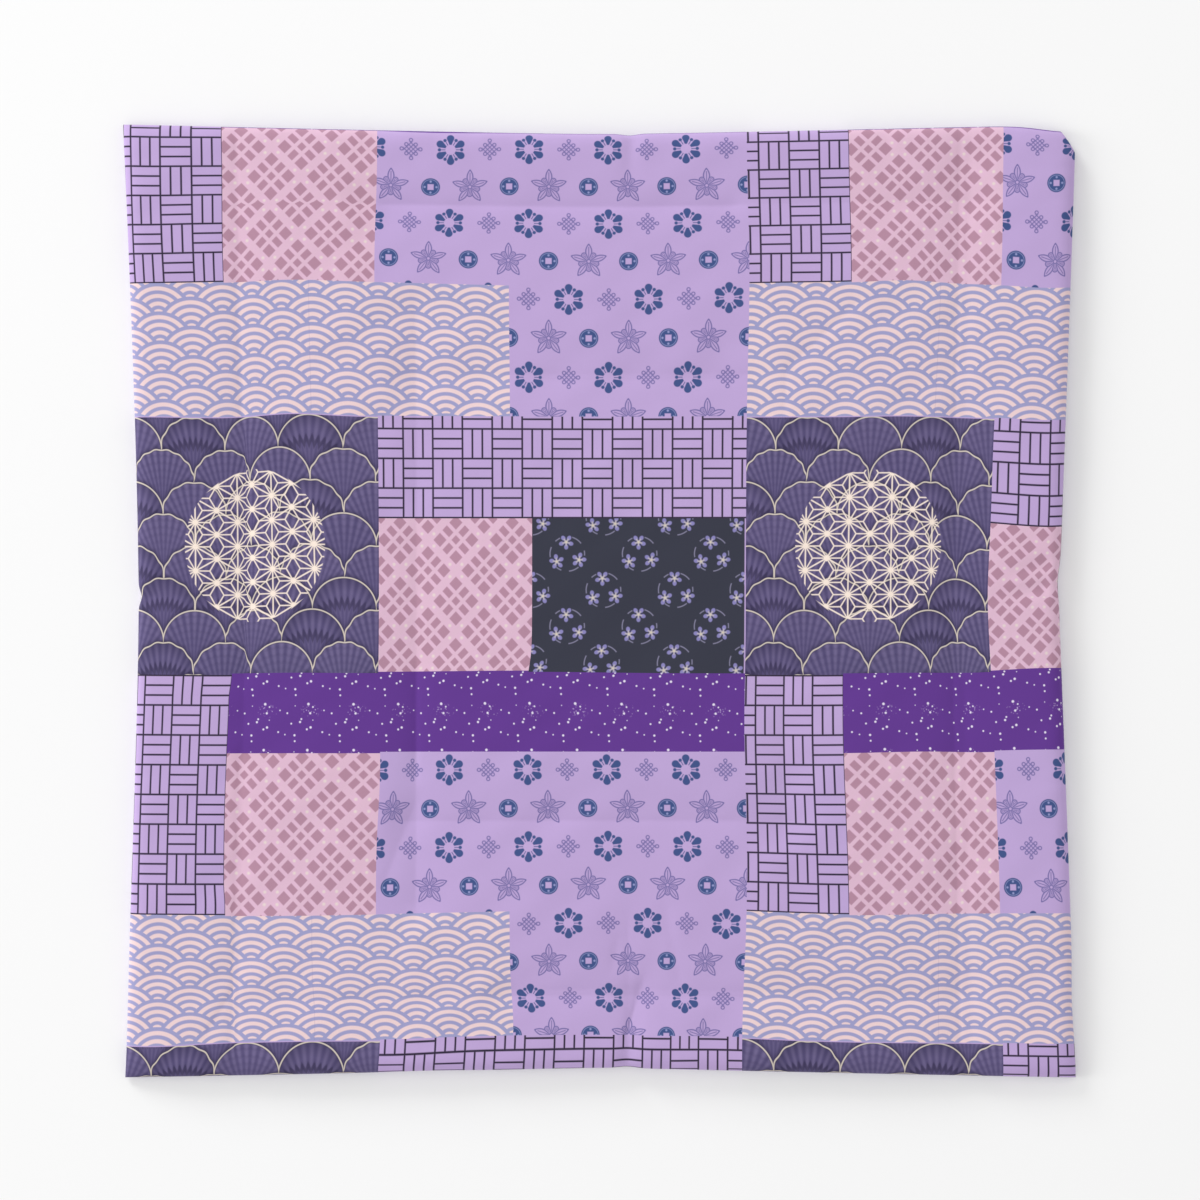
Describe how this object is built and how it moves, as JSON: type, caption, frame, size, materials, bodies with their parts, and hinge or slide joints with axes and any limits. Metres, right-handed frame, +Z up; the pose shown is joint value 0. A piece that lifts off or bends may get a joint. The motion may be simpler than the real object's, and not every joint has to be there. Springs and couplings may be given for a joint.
{
  "type": "patchwork quilt",
  "caption": "Square, lightly filled patchwork quilt lying flat, with drawn-in sides, round edges, faint fold creases and one tucked corner.",
  "frame": {"origin": "under the middle of the quilt, on the surface it rests on", "axes": "+Z up, out of the printed top; +X towards the picture's right side; +Y towards the picture's top side, whose +X end has the tucked corner"},
  "size_m": [2.2349, 2.235, 0.0539],
  "materials": {
    "printed_cotton": "matte",
    "backing_cotton": "matte"
  },
  "bodies": {
    "root": {"quilt": "printed_cotton"}
  },
  "joints": []
}
